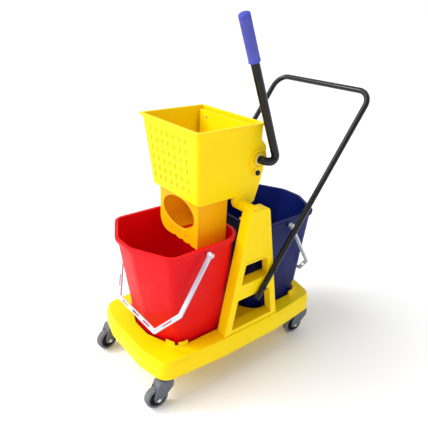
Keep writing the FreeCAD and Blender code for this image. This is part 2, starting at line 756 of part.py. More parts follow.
def tail_plates():
    """The side walls carry on down behind the A-frame barrels, with a saddle over each barrel."""
    barrel_front, barrel_back = barrel_y - barrel_radius, barrel_y + barrel_radius
    tail = [(barrel_front - 6, hopper_bottom + 12), (barrel_front - 6, barrel_z + 8),
            (barrel_y, barrel_z + 8), (barrel_back + saddle_gap, tail_bottom), (tail_back, tail_bottom),
            (housing_y - 5, plate_axle_z - 36), (housing_y - 5, plate_axle_z), (axle_y, plate_axle_z)]
    plate = prism(side(tail, -200), [2, 2, 0, 3, 10, 8, 3, 3], V(400, 0, 0))
    slopes = hopper_trapezoid(0.0, hopper_bottom - 60, hopper_rim + 10, -300, 300)
    slopes = slopes.cut(hopper_trapezoid(hopper_wall + 1, hopper_bottom - 70, hopper_rim + 20, -310, 310))
    plates = [s for s in plate.common(slopes).Solids]
    saddles = []
    for sign in (1, -1):
        foot = hopper_half(hopper_bottom)
        xs = sorted((sign * foot, sign * (foot - saddle_width)))
        saddle = prism(side([(barrel_y - barrel_radius - 6, barrel_z + 4),
                             (barrel_y + barrel_radius + 6, barrel_z - 6),
                             (barrel_y + barrel_radius + 6, hopper_bottom + 12),
                             (barrel_y - barrel_radius - 6, hopper_bottom + 12)], xs[0]), 2.0,
                       V(xs[1] - xs[0], 0, 0))
        saddles.append(saddle)
    barrel = x_rod(-200, 200, barrel_y, barrel_z, barrel_radius + saddle_gap)
    below = box(-200, 200, barrel_y - barrel_radius - saddle_gap, barrel_y + barrel_radius + saddle_gap,
                barrel_z - 60, barrel_z)
    return [piece.cut(barrel.fuse(below)) for piece in plates + saddles]


def throat_screw_places():
    middle = (throat_front + throat_rear) / 2
    return [(sx * (throat_half + throat_flange / 2), middle + sy * 28) for sx in (1, -1) for sy in (1, -1)]


def wringer_throat():
    """Drain box under the hopper, with an oval opening in front and a slotted floor."""
    top = hopper_bottom + hopper_skirt
    low, depth = throat_bottom, throat_rear - throat_front
    outline = [(throat_half, top), (-throat_half, top), (-throat_half, low), (throat_half, low)]
    outer = prism(front(outline, throat_front), [0, 0, throat_round, 4.0], V(0, depth, 0))
    inside = offset(outline, [4.0, -throat_wall, -throat_wall, -throat_wall])
    inner = prism(front(inside, throat_front + throat_wall), [0, 0, throat_round - throat_wall, 1.0],
                  V(0, depth - 2 * throat_wall, 0))
    flange = box(-throat_half - throat_flange, throat_half + throat_flange, throat_front - throat_flange,
                 throat_rear + 1, top - 4, top)
    body = fuse([outer, flange]).cut(inner)
    circle = Part.makeCylinder(drain_rise, 20, V(0, throat_front - 10, 0), V(0, 1, 0))
    stretch = FreeCAD.Matrix()
    stretch.A11 = drain_half / drain_rise
    oval = circle.transformGeometry(stretch).translated(V(0, 0, drain_z))
    body = body.cut(oval)
    for x in foot_holes:
        hole = rod(V(x, throat_front - 1, low + 21), V(x, throat_front + 6, low + 21), 4.0)
        notch = rod(V(x + 19, throat_front - 1, low - 9), V(x + 19, throat_front + 6, low - 9), 13.0)
        body = body.cut(hole).cut(notch)
    half, sill, head = window_width / 2, throat_bottom + window_sill, hopper_bottom - window_head
    for x in (-window_pitch, 0.0, window_pitch):
        corners = [(x - half, sill), (x + half, sill), (x + half, head), (x - half, head)]
        window = prism(front(corners, throat_rear - throat_wall - 1), 6.0, V(0, throat_wall + 2, 0))
        body = body.cut(window)
    half, near, far = slot_width / 2, throat_front + slot_margin, throat_rear - slot_margin
    for column in range(floor_slots):
        x = slot_start + slot_pitch * column
        slot = prism(plan([(x - half, near), (x + half, near), (x + half, far), (x - half, far)], low - 1), 6.0,
                     V(0, 0, throat_wall + 6))
        body = body.cut(slot)
    for x, y in throat_screw_places():
        body = body.cut(z_rod(x, y, top - 5, top + 1, 2.2))
    return body.removeSplitter()


def throat_screws():
    seat = hopper_bottom + hopper_skirt - 4
    screws = []
    for x, y in throat_screw_places():
        shank = z_rod(x, y, seat, seat + 4 + hopper_wall, 2.0)
        head = z_rod(x, y, seat - 2.4, seat, 3.6)
        head = head.makeFillet(1.2, [e for e in head.Edges if e.BoundBox.ZMax < seat - 2])
        screws.append(shank.fuse(head))
    return group(screws)


def lever_bush_outer(sign):
    return (lever_radius if sign > 0 else lever_bar_radius) + 3.0


def bush(sign, inner, outer, length_x, z):
    sleeve = x_rod(sign * boss_inner_x, sign * length_x, axle_y, z, outer)
    return sleeve.cut(x_rod(sign * (boss_inner_x - 1), sign * (length_x + 1), axle_y, z,
                            inner + running_fit))


def tooth_half_angle(radius, teeth):
    pitch = gear_module * teeth / 2
    base = pitch * math.cos(pressure_angle)
    def involute(r):
        angle = math.acos(min(1.0, base / max(r, base)))
        return math.tan(angle) - angle
    at_pitch = (math.pi / 2 - tooth_backlash / gear_module) / teeth
    return at_pitch + involute(pitch) - involute(radius)


def gear_points(teeth, first_angle, count):
    """Tooth outline points (radius, angle from +Z towards -Y), tooth after tooth."""
    pitch = gear_module * teeth / 2
    root, tip = pitch - 1.15 * gear_module, pitch + 0.85 * gear_module
    radii = [lerp(root, tip, share) for share in (0.0, 0.2, 0.4, 0.6, 0.8, 1.0)]
    points = []
    for tooth in range(count):
        centre = first_angle + tooth * 2 * math.pi / teeth
        rising = [(r, centre - tooth_half_angle(r, teeth)) for r in radii]
        falling = [(r, centre + tooth_half_angle(r, teeth)) for r in radii[::-1]]
        points += rising + falling
    return points


def polar(points, x, z):
    return [V(x, axle_y - r * math.sin(a), z + r * math.cos(a)) for r, a in points]


def flat_prism(points, travel):
    return Part.Face(Part.makePolygon(points + [points[0]])).extrude(travel)


def lever_gear(sign):
    """Full pinion on the lever's axle; one tooth points straight down into the plate's sector."""
    xs = sorted((sign * gear_x, sign * (gear_x + gear_thickness)))
    outline = gear_points(lever_teeth, math.pi, lever_teeth)
    gear = flat_prism(polar(outline, xs[0], lever_axle_z), V(gear_thickness, 0, 0))
    return gear.cut(x_rod(xs[0] - 1, xs[1] + 1, axle_y, lever_axle_z, lever_bar_radius))


def plate_arm(sign):
    """Carrier of the press plate: hub, toothed sector and an upright behind the plate."""
    xs = sorted((sign * gear_x, sign * (gear_x + gear_thickness)))
    step = 2 * math.pi / plate_teeth
    last = 4
    points = gear_points(plate_teeth, -(last - 0.5) * step, last + 1)
    points += [(plate_bar_radius + 2, points[-1][1] + 0.1), (plate_bar_radius + 2, points[0][1] - 0.1)]
    sector = flat_prism(polar(points, xs[0], plate_axle_z), V(gear_thickness, 0, 0))
    back = plate_front_y + plate_thickness
    near = sorted((sign * arm_x, sign * (arm_x + arm_thickness)))
    hub = x_rod(near[0] if sign > 0 else xs[0], xs[1] if sign > 0 else near[1], axle_y, plate_axle_z, 13.0)
    upright = [(back, plate_bottom), (back + 5, plate_axle_z - 9), (axle_y, plate_axle_z - 12),
               (axle_y, plate_axle_z + 12), (back + 10, plate_axle_z + 20), (back + 9, plate_top - 6),
               (back, plate_top - 6)]
    web = prism(side(upright, near[0]), [0, 0, 0, 0, 5, 3, 0], V(arm_thickness, 0, 0))
    for x, z in plate_screw_places():
        if x * sign > 0:
            web = web.cut(rod(V(x, back - 1, z), V(x, back + 6, z), plate_screw_radius))
    arm = fuse([sector, hub, leaned(web)])
    return arm.cut(x_rod(-200, 200, axle_y, plate_axle_z, plate_bar_radius))


def leaned(shape):
    """Tip the press plate and what is fixed behind it back to its rest angle."""
    tipped = shape.copy()
    tipped.rotate(V(0, axle_y, plate_axle_z), V(1, 0, 0), -plate_lean)
    return tipped


def plate_screw_places():
    x = arm_x + arm_thickness / 2
    return [(sx * x, z) for sx in (1, -1) for z in (plate_bottom + 22, plate_top - 22)]


def press_plate():
    """Flat press plate with a rolled top edge and stiffening ribs behind it."""
    outline = [(-plate_bottom_half, plate_bottom), (plate_bottom_half, plate_bottom),
               (plate_top_half, plate_top), (-plate_top_half, plate_top)]
    plate = prism(front(outline, plate_front_y), [6, 6, 10, 10], V(0, plate_thickness, 0))
    back = plate_front_y + plate_thickness
    ribs = []
    for x in plate_ribs:
        ribs.append(box(x - 1.5, x + 1.5, back, back + 7, plate_bottom + 6, plate_top - 8))
    ribs.append(box(-arm_x + 1, arm_x - 1, back, back + 7, plate_top - 11, plate_top - 8))
    plate = plate.multiFuse(ribs)
    for x, z in plate_screw_places():
        plate = plate.cut(screw_shape(x, z))
    return leaned(plate.removeSplitter())


def screw_shape(x, z):
    """Countersunk screw outline through the plate and into the arm behind it."""
    face = plate_front_y
    head = Part.makeCone(2 * plate_screw_radius, plate_screw_radius, 2.4, V(x, face, z), V(0, 1, 0))
    return head.fuse(rod(V(x, face, z), V(x, face + plate_thickness + 6, z), plate_screw_radius))


def plate_screws():
    return group([leaned(screw_shape(x, z)) for x, z in plate_screw_places()])


def plate_axle():
    reach = boss_outer_x - 4
    return x_rod(-reach, reach, axle_y, plate_axle_z, plate_bar_radius)


def plate_axle_clips():
    """Push-on caps over the plate axle's two ends."""
    inner, outer = boss_outer_x - 8 + running_gap, boss_outer_x - 2.5
    cap = x_rod(inner, outer, axle_y, plate_axle_z, plate_bar_radius + 2)
    cap = cap.makeFillet(1.2, [e for e in cap.Edges if e.BoundBox.XMin > outer - 0.1])
    cap = cap.cut(x_rod(inner - 1, boss_outer_x - 4, axle_y, plate_axle_z, plate_bar_radius))
    return group([cap, mirror_x(cap)])


def lever_axle():
    return x_rod(-boss_outer_x - 3, boss_outer_x + 4, axle_y, lever_axle_z, lever_bar_radius)


def lever_axle_cap():
    inner, outer = -boss_outer_x - running_gap, -boss_outer_x - 5
    cap = x_rod(inner, outer, axle_y, lever_axle_z, lever_bar_radius + 4)
    cap = cap.makeFillet(1.5, [e for e in cap.Edges if e.BoundBox.XMax < outer + 0.1])
    return cap.cut(x_rod(0, -boss_outer_x - 3, axle_y, lever_axle_z, lever_bar_radius))


def lever_points():
    return [V(boss_inner_x - 8, axle_y, lever_axle_z), V(lever_x, axle_y, lever_axle_z),
            V(lever_x, elbow_y, elbow_z), V(lever_x, lever_top_y, lever_top_z)]


def lever_tube():
    bends = [lever_bend, elbow_bend]
    outer = bent_rod(lever_points(), bends, lever_radius)
    return outer.cut(bent_rod(lever_points(), bends, lever_radius - lever_wall))


def lever_grip():
    """Closed sleeve over the top of the lever."""
    elbow, top = lever_points()[2:]
    along = (top - elbow).normalize()
    end = top + along * 4
    grip = rod(end - along * grip_length, end, grip_radius)
    grip = grip.makeFillet(6.0, end_circle(grip, end))
    grip = grip.makeFillet(1.5, end_circle(grip, end - along * grip_length))
    return grip.cut(rod(end - along * (grip_length + 1), top, lever_radius))


def return_spring():
    """Torsion spring round the lever axle, beside the left gear."""
    start = -arm_x + 6
    wire, mean, turns, pitch = spring_wire, spring_mean, spring_turns, spring_pitch
    helix = Part.makeHelix(pitch, pitch * turns, mean)
    ring = Part.Wire([Part.Circle(V(mean, 0, 0), V(0, 1, 0), wire).toShape()])
    coil = Part.Wire(helix.Edges).makePipeShell([ring], True, True)
    leg = rod(V(mean, 1, 0), V(mean, -16, 0), wire)
    other = rod(V(mean, -1, pitch * turns), V(mean, 16, pitch * turns), wire)
    spring = coil.multiFuse([leg, other])
    spring.rotate(V(0, 0, 0), V(0, 1, 0), 90)
    spring.translate(V(start, axle_y, lever_axle_z))
    return spring


# ---------------------------------------------------------------- casters
def caster(name, sx, sy):
    """One swivel caster; its wheel trails towards the wringing end, turned a little."""
    x, y = sx * stem_x, tray_centre_y + sy * stem_y
    wheel_y = y - caster_trail
    reach = wheel_width / 2 + 0.5

    def turned(shape):
        moved = shape.copy()
        moved.rotate(V(x, y, 0), V(0, 0, 1), caster_turns[name])
        return moved

    clear = wheel_radius + wheel_gap
    head = fork_top - fork_plate
    seat = head - running_gap
    stem = fuse([z_rod(x, y, seat, tray_bottom + stem_depth, stem_radius),
                 z_rod(x, y, seat - 4, seat, stem_radius + 3)])
    race = z_rod(x, y, fork_top + running_gap, tray_bottom, race_radius)
    race = race.makeFillet(2.0, [e for e in race.Edges if e.BoundBox.ZMax < fork_top + 1])
    race = race.cut(z_rod(x, y, fork_top, tray_bottom + 1, stem_radius))

    cheek = [(y + 20, fork_top), (y - 30, fork_top), (wheel_y - 14, wheel_radius + 14),
             (wheel_y - 12, wheel_radius - 11), (wheel_y + 12, wheel_radius - 11), (y + 18, fork_top - 26)]
    half = fork_width / 2
    fork = prism(side(cheek, x - half), [5, 14, 12, 10, 10, 12], V(fork_width, 0, 0))
    fork = fork.makeFillet(2.5, [e for e in fork.Edges if e.BoundBox.XLength < 0.1
                                 and e.BoundBox.ZMin < fork_top - 1])
    inside = half - fork_cheek
    fork = fork.cut(x_rod(x - inside, x + inside, wheel_y, wheel_radius, clear))
    fork = fork.cut(box(x - inside, x + inside, wheel_y - clear, wheel_y + clear, 0, wheel_radius))
    fork = fork.cut(z_rod(x, y, seat - 10, head, stem_radius + 5))
    fork = fork.cut(z_rod(x, y, seat - 10, fork_top + 1, stem_radius + running_fit))
    fork = fork.cut(x_rod(x - half - 1, x + half + 1, wheel_y, wheel_radius, axle_radius))

    tread = x_rod(x - wheel_width / 2, x + wheel_width / 2, wheel_y, wheel_radius, wheel_radius)
    tread = tread.makeFillet(5.0, [e for e in tread.Edges if e.BoundBox.XLength < 0.1])
    tyre = tread.cut(x_rod(x - 20, x + 20, wheel_y, wheel_radius, hub_radius))
    hub = x_rod(x - wheel_width / 2 + 1, x + wheel_width / 2 - 1, wheel_y, wheel_radius, hub_radius)
    for sign in (1, -1):
        dish = x_rod(x + sign * 4, x + sign * 20, wheel_y, wheel_radius, hub_radius - 4)
        hub = hub.cut(dish)
    boss = x_rod(x - reach - 1.5, x + reach + 1.5, wheel_y, wheel_radius, 9.5)
    ribs = []
    for i in range(5):
        spoke = box(x - wheel_width / 2 + 3, x + wheel_width / 2 - 3, wheel_y - 1.6, wheel_y + 1.6,
                    wheel_radius + 6, wheel_radius + hub_radius - 2)
        spoke.rotate(V(x, wheel_y, wheel_radius), V(1, 0, 0), 72 * i)
        ribs.append(spoke)
    hub = hub.multiFuse([boss] + ribs)
    hub = hub.cut(x_rod(x - 30, x + 30, wheel_y, wheel_radius, axle_radius + running_fit)).removeSplitter()

    bolt = fuse([x_rod(x - half - 4, x + half, wheel_y, wheel_radius, axle_radius),
                 hex_prism(V(x + half, wheel_y, wheel_radius), V(1, 0, 0), 12.0, 4.5)])
    nut = hex_prism(V(x - half, wheel_y, wheel_radius), V(-1, 0, 0), 12.0, 5.0)
    nut = nut.cut(x_rod(x - half - 6, x - half + 1, wheel_y, wheel_radius, axle_radius))

    nodes["caster_stem_" + name] = stem
    nodes["caster_race_" + name] = race
    nodes["caster_fork_" + name] = turned(fork)
    nodes["caster_hub_" + name] = turned(hub)
    nodes["caster_tyre_" + name] = turned(tyre)
    nodes["caster_axle_" + name] = turned(group([bolt, nut]))


# ---------------------------------------------------------------- the trolley
nodes["base_tray"] = base_tray()
right_frame = a_frame()
nodes["a_frame_right"] = right_frame
nodes["a_frame_left"] = mirror_x(right_frame)
nodes["a_frame_bolts"] = a_frame_bolts()
nodes["push_handle"] = push_handle()
nodes["handle_bolts"] = handle_bolts()
nodes["handle_plugs"] = handle_plugs()

blue, pin_x = bucket()
pins = bail_pins(pin_x)
handle = bail()
nodes["blue_bucket"] = blue
nodes["blue_bail"] = handle
nodes["blue_bail_pins"] = pins
nodes["red_bucket"] = half_turn(blue)
nodes["red_bail"] = half_turn(handle)
nodes["red_bail_pins"] = half_turn(pins)

nodes["wringer_hopper"] = wringer_hopper()
nodes["wringer_throat"] = wringer_throat()
nodes["throat_screws"] = throat_screws()
nodes["press_plate"] = press_plate()
nodes["plate_screws"] = plate_screws()
nodes["plate_axle"] = plate_axle()
nodes["plate_axle_clips"] = plate_axle_clips()
nodes["lever_axle"] = lever_axle()
nodes["lever_axle_cap"] = lever_axle_cap()
nodes["lever_tube"] = lever_tube()
nodes["lever_grip"] = lever_grip()
nodes["return_spring"] = return_spring()
for label, sign in (("right", 1), ("left", -1)):
    nodes["lever_gear_" + label] = lever_gear(sign)
    nodes["plate_arm_" + label] = plate_arm(sign)
    radius = lever_radius if sign > 0 else lever_bar_radius
    nodes["lever_bush_" + label] = bush(sign, radius, lever_bush_outer(sign), boss_outer_x, lever_axle_z)
    nodes["plate_bush_" + label] = bush(sign, plate_bar_radius, plate_bar_radius + 3,
                                        boss_outer_x - 8, plate_axle_z)

for name in caster_turns:
    sx = 1 if name.endswith("right") else -1
    sy = 1 if name.startswith("rear") else -1
    caster(name, sx, sy)

os.makedirs("parts", exist_ok=True)
for node, shape in nodes.items():
    placed = shape.translated(V(0, frame_y, 0))
    bounds = placed.BoundBox
    print("%-26s solids %d valid %s volume %.0f  x %.1f %.1f  y %.1f %.1f  z %.1f %.1f" % (
        node, len(placed.Solids), placed.isValid(), placed.Volume, bounds.XMin, bounds.XMax,
        bounds.YMin, bounds.YMax, bounds.ZMin, bounds.ZMax))
    placed.exportStep("parts/%s.step" % node)
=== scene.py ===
# %% [markdown]
# # A two-bucket mopping trolley with a wringer
#
# The trolley is a yellow tray on four swivel casters. It carries a blue tub of clean water, a red tub
# for the used water, two yellow A-frames and a yellow wringer worked by a black lever. The packed
# model gives every size and place, so the first step is to load it and to look at what is there.

# %% Load the frame
import json
import math

import bmesh
import bpy
from mathutils import Matrix, Vector


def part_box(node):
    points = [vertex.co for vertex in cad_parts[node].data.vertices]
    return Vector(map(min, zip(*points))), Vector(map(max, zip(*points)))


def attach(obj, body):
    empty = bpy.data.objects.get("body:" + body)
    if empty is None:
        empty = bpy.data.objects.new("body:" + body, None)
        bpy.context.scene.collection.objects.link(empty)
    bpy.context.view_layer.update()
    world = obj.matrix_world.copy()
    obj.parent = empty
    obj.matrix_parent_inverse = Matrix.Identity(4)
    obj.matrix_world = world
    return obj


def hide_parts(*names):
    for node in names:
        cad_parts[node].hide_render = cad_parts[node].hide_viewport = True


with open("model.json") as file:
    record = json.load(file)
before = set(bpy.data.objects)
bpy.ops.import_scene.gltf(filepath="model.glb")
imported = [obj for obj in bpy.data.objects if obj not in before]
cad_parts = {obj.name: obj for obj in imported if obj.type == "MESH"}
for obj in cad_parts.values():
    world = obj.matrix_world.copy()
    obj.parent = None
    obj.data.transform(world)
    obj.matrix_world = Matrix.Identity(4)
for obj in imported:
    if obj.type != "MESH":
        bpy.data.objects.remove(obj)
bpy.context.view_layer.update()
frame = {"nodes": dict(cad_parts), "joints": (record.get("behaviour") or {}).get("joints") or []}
nodes = frame["nodes"]

# %% [markdown]
# ## Small tools for modelling
#
# Every operator in Blender acts on what is selected, and the loaded nodes come in selected. So a
# piece starts by clearing the selection, and each step picks its faces or edges by where they are.
# The helpers below do only that: they keep the modelling steps short and readable.

# %% Helpers for selecting
def clear_selection():
    """Nothing selected, in object mode."""
    if bpy.context.object and bpy.context.object.mode != "OBJECT":
        bpy.ops.object.mode_set(mode="OBJECT")
    bpy.ops.object.select_all(action="DESELECT")


def take(piece):
    """Select one object and make it the active one."""
    clear_selection()
    piece.select_set(True)
    bpy.context.view_layer.objects.active = piece


def edit(piece, kind="FACE"):
    """Go into edit mode on one object with nothing picked."""
    take(piece)
    bpy.ops.object.mode_set(mode="EDIT")
    bpy.ops.mesh.select_mode(type=kind)
    bpy.ops.mesh.select_all(action="DESELECT")


def pick(test, kind="FACE"):
    """In edit mode, select the faces, edges or vertices for which the test is true."""
    bpy.ops.mesh.select_mode(type=kind)
    bpy.ops.mesh.select_all(action="DESELECT")
    mesh = bmesh.from_edit_mesh(bpy.context.object.data)
    parts = {"FACE": mesh.faces, "EDGE": mesh.edges, "VERT": mesh.verts}[kind]
    count = 0
    for part in parts:
        if test(part):
            part.select_set(True)
            count += 1
    mesh.select_flush_mode()
    bmesh.update_edit_mesh(bpy.context.object.data)
    return count


def add_modifier(piece, kind, **settings):
    """Add a modifier with its settings and apply it."""
    take(piece)
    modifier = piece.modifiers.new(kind.title(), kind)
    for key, value in settings.items():
        setattr(modifier, key, value)
    bpy.ops.object.modifier_apply(modifier=modifier.name)


def smooth(piece, degrees=35):
    """Smooth shading that keeps edges sharper than the angle crisp."""
    take(piece)
    bpy.ops.object.shade_smooth_by_angle(angle=math.radians(degrees))


print("helpers ready")

# %% [markdown]
# ## Finishes
#
# Most of the trolley is moulded plastic. A flat colour would look like paper, so the finish has four
# layers: a base colour that drifts slightly, as pigment does; roughness that varies with handling; a
# fine grain as bump; and softened edges with a painted highlight that makes them a little lighter. A
# Bevel node gives the soft edges: it rounds only the shading, so the modelled sizes stay as they are.

# %% Node helpers
MM = 0.001
sharp_turn = 0.86


def new_material(name):
    """A material with an empty Principled shader, and a short way to add nodes to it."""
    material = bpy.data.materials.new(name)
    material.use_nodes = True
    tree = material.node_tree
    shader = tree.nodes["Principled BSDF"]

    def add(kind, **inputs):
        node = tree.nodes.new("ShaderNode" + kind)
        for key, value in inputs.items():
            if key in node.inputs:
                node.inputs[key].default_value = value
            else:
                setattr(node, key, value)
        return node

    return material, shader, add, tree.links.new


def object_noise(add, link, scale, detail=3.0, stretch=(1.0, 1.0, 1.0)):
    """Noise that is fixed to the piece, optionally stretched along an axis."""
    place = add("TexCoord")
    mapping = add("Mapping")
    mapping.inputs["Scale"].default_value = stretch
    noise = add("TexNoise", Scale=scale, Detail=detail)
    link(place.outputs["Object"], mapping.inputs["Vector"])
    link(mapping.outputs["Vector"], noise.inputs["Vector"])
    return noise.outputs["Fac"]


def in_range(add, link, value, low, high, out_low, out_high):
    """Move a value from one range to another."""
    node = add("MapRange")
    for key, number in (("From Min", low), ("From Max", high),
                        ("To Min", out_low), ("To Max", out_high)):
        node.inputs[key].default_value = number
    link(value, node.inputs["Value"])
    return node.outputs["Result"]


def edge_mask(add, link, radius):
    """0 on flat faces and 1 on sharp edges, from how far the rounded normal turns."""
    rounded = add("Bevel", Radius=radius, samples=6)
    plain = add("NewGeometry")
    across = add("VectorMath", operation="DOT_PRODUCT")
    link(rounded.outputs["Normal"], across.inputs[0])
    link(plain.outputs["Normal"], across.inputs[1])
    edges = in_range(add, link, across.outputs["Value"], 1.0, sharp_turn, 0.0, 1.0)
    return rounded.outputs["Normal"], edges


print("node helpers ready")


# %% The moulded plastic
plastic_specular = 0.14
plastic_edge = 1.5 * MM


def moulded(name, colour, shade, roughness, grain=900.0, grain_depth=0.00004, painted_edge_highlight=0.25):
    """Injection-moulded plastic: colour drifts to a deeper tone, and the edges get a painted highlight.
    """
    material, shader, add, link = new_material(name)
    soft_normal, edges = edge_mask(add, link, plastic_edge)
    drift = in_range(add, link, object_noise(add, link, 7.0, 4.0), 0.3, 0.7, 0.0, 1.0)
    body = add("Mix", data_type="RGBA")
    body.inputs["A"].default_value = (*colour, 1.0)
    body.inputs["B"].default_value = (*shade, 1.0)
    link(drift, body.inputs["Factor"])
    # Painted highlight: along sharp edges the colour is mixed up to half way towards a lighter copy of
    # itself.
    painted_highlight = add("Mix", data_type="RGBA")
    painted_highlight.inputs["B"].default_value = (*[c + (1.0 - c) * painted_edge_highlight for c in colour], 1.0)
    link(in_range(add, link, edges, 0.0, 1.0, 0.0, 0.5), painted_highlight.inputs["Factor"])
    link(body.outputs["Result"], painted_highlight.inputs["A"])
    link(painted_highlight.outputs["Result"], shader.inputs["Base Color"])
    rub = object_noise(add, link, 22.0, 5.0)
    worn = in_range(add, link, rub, 0.3, 0.7, roughness - 0.05, roughness + 0.07)
    link(worn, shader.inputs["Roughness"])
    bump = add("Bump", Strength=0.35, Distance=grain_depth)
    link(object_noise(add, link, grain, 2.0), bump.inputs["Height"])
    link(soft_normal, bump.inputs["Normal"])
    link(bump.outputs["Normal"], shader.inputs["Normal"])
    shader.inputs["Specular IOR Level"].default_value = plastic_specular
    return material


def paint(material, *names):
    """Give the loaded nodes a finish."""
    for name in names:
        slots = nodes[name].data.materials
        slots.clear()
        slots.append(material)


corners = ("front_right", "front_left", "rear_right", "rear_left")
yellow = moulded("yellow_plastic", (1.0, 0.74, 0.0), (0.99, 0.70, 0.0), 0.42)
# The throat is the same yellow plastic as the rest of the wringer, made a deeper orange-yellow as painted
# shade for the inside of the wringer.
yellow_in_painted_shade = moulded("throat_in_painted_shade", (1.0, 0.52, 0.0), (0.97, 0.47, 0.0), 0.42)
red = moulded("red_plastic", (0.80, 0.0, 0.006), (0.72, 0.0, 0.008), 0.42)
blue = moulded("blue_plastic", (0.002, 0.008, 0.12), (0.001, 0.006, 0.09), 0.42)
pale_blue = moulded("bail_plastic", (0.62, 0.69, 0.80), (0.56, 0.64, 0.76), 0.38)
caster_grey = moulded("caster_plastic", (0.15, 0.165, 0.19), (0.12, 0.13, 0.155), 0.42)
hub_black = moulded("hub_plastic", (0.014, 0.015, 0.017), (0.022, 0.023, 0.026), 0.45, painted_edge_highlight=0.1)
nylon = moulded("natural_nylon", (0.75, 0.74, 0.68), (0.70, 0.69, 0.62), 0.45)
black_plastic = moulded("black_plastic", (0.012, 0.012, 0.014), (0.02, 0.02, 0.022), 0.40, painted_edge_highlight=0.1)
paint(yellow, "base_tray", "a_frame_right", "a_frame_left", "wringer_hopper", "press_plate")
# The throat gets the yellow in painted shade.
paint(yellow_in_painted_shade, "wringer_throat")
paint(red, "red_bucket")
paint(blue, "blue_bucket")
paint(pale_blue, "red_bail", "blue_bail")
paint(nylon, "lever_gear_right", "lever_gear_left", "plate_arm_right", "plate_arm_left",
      "lever_bush_right", "lever_bush_left", "plate_bush_right", "plate_bush_left")
paint(black_plastic, "handle_plugs", "plate_axle_clips", "lever_axle_cap")
for corner in corners:
    paint(caster_grey, "caster_fork_" + corner, "caster_race_" + corner)
    paint(hub_black, "caster_hub_" + corner)
print("moulded finishes:", [m.name for m in bpy.data.materials if m.users and "plastic" in m.name])

# %% [markdown]
# The tubes are steel under a thick gloss black coat. The coat is a clear layer over a dark base, with
# a slow ripple, which is what breaks a long highlight on a real powder-coated tube. The bolts, axles
# and pins are zinc plated: a metal with a fine brushed grain along the piece. Rubber is nearly matte,
# with dust in it.

# %% Coated tube, plated steel and rubber
def gloss_coat(name):
    """Black powder coat with a slow ripple."""
    material, shader, add, link = new_material(name)
    shader.inputs["Base Color"].default_value = (0.002, 0.002, 0.0025, 1.0)
    shader.inputs["Specular IOR Level"].default_value = 0.3
    shader.inputs["Coat Weight"].default_value = 0.08
    shader.inputs["Coat Roughness"].default_value = 0.06
    wear = object_noise(add, link, 35.0, 5.0)
    link(in_range(add, link, wear, 0.3, 0.7, 0.16, 0.30), shader.inputs["Roughness"])
    bump = add("Bump", Strength=0.25, Distance=0.0002)
    link(object_noise(add, link, 180.0, 2.0), bump.inputs["Height"])
    link(bump.outputs["Normal"], shader.inputs["Normal"])
    return material


def plated(name, tone):
    """Zinc plate with a fine brushed grain."""
    material, shader, add, link = new_material(name)
    shader.inputs["Base Color"].default_value = (tone, tone, tone * 1.03, 1.0)
    shader.inputs["Metallic"].default_value = 1.0
    soft_normal = add("Bevel", Radius=0.6 * MM, samples=6).outputs["Normal"]
    brushed = object_noise(add, link, 500.0, 3.0, stretch=(0.08, 1.0, 1.0))
    link(in_range(add, link, brushed, 0.3, 0.7, 0.22, 0.42), shader.inputs["Roughness"])
    bump = add("Bump", Strength=0.2, Distance=0.00005)
    link(brushed, bump.inputs["Height"])
    link(soft_normal, bump.inputs["Normal"])
    link(bump.outputs["Normal"], shader.inputs["Normal"])
    return material


def rubber(name, colour):
    """Nearly matte rubber with dust in patches."""
    material, shader, add, link = new_material(name)
    dust = in_range(add, link, object_noise(add, link, 45.0, 6.0), 0.45, 0.75, 0.0, 0.5)
    body = add("Mix", data_type="RGBA")
    body.inputs["A"].default_value = (*colour, 1.0)
    body.inputs["B"].default_value = (0.30, 0.30, 0.30, 1.0)
    link(dust, body.inputs["Factor"])
    link(body.outputs["Result"], shader.inputs["Base Color"])
    shader.inputs["Roughness"].default_value = 0.62
    bump = add("Bump", Strength=0.4, Distance=0.0001)
    link(object_noise(add, link, 700.0, 3.0), bump.inputs["Height"])
    link(bump.outputs["Normal"], shader.inputs["Normal"])
    return material


black_coat = gloss_coat("gloss_black_coat")
zinc = plated("zinc_plate", 0.62)
spring_wire = plated("spring_wire", 0.42)
tread_rubber = rubber("tread_rubber", (0.13, 0.135, 0.15))
grip_blue = moulded("grip_plastic", (0.085, 0.095, 0.52), (0.06, 0.07, 0.42), 0.5, grain=420.0,
                    grain_depth=0.0003, painted_edge_highlight=0.2)
paint(black_coat, "push_handle", "lever_tube", "handle_bolts")
paint(grip_blue, "lever_grip")
paint(spring_wire, "return_spring")
paint(zinc, "a_frame_bolts", "throat_screws", "plate_screws", "plate_axle", "lever_axle",
      "blue_bail_pins", "red_bail_pins")
for corner in corners:
    paint(zinc, "caster_stem_" + corner, "caster_axle_" + corner)
    paint(tread_rubber, "caster_tyre_" + corner)
print("materials:", len(bpy.data.materials))

# %% [markdown]
# ## The two tubs
#
# A tub is one moulding: straight sides, a rounded inner end, a faceted outer end that comes forward to
# a nose, and a lip that stiffens the rim. It could be drawn as a flat outline and lofted, but the
# shape is easier to follow as a box: the outer face is pulled out and narrowed to make the nose, the
# bottom is drawn in to make the taper, and the upright edges are bevelled to their corner radii.

# %% The tub's block
frame_low, frame_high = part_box("a_frame_right")
between_tubs = (frame_low.y + frame_high.y) / 2
tub_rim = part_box("blue_bucket")[1].z
tub_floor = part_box("blue_bucket")[0].z
rim_half, floor_half, nose_half = 161 * MM, 145 * MM, 38 * MM
rim_inner, rim_shoulder, rim_nose = 29 * MM, 294 * MM, 358 * MM
floor_inner, floor_shoulder, floor_nose = 40 * MM, 256 * MM, 298 * MM


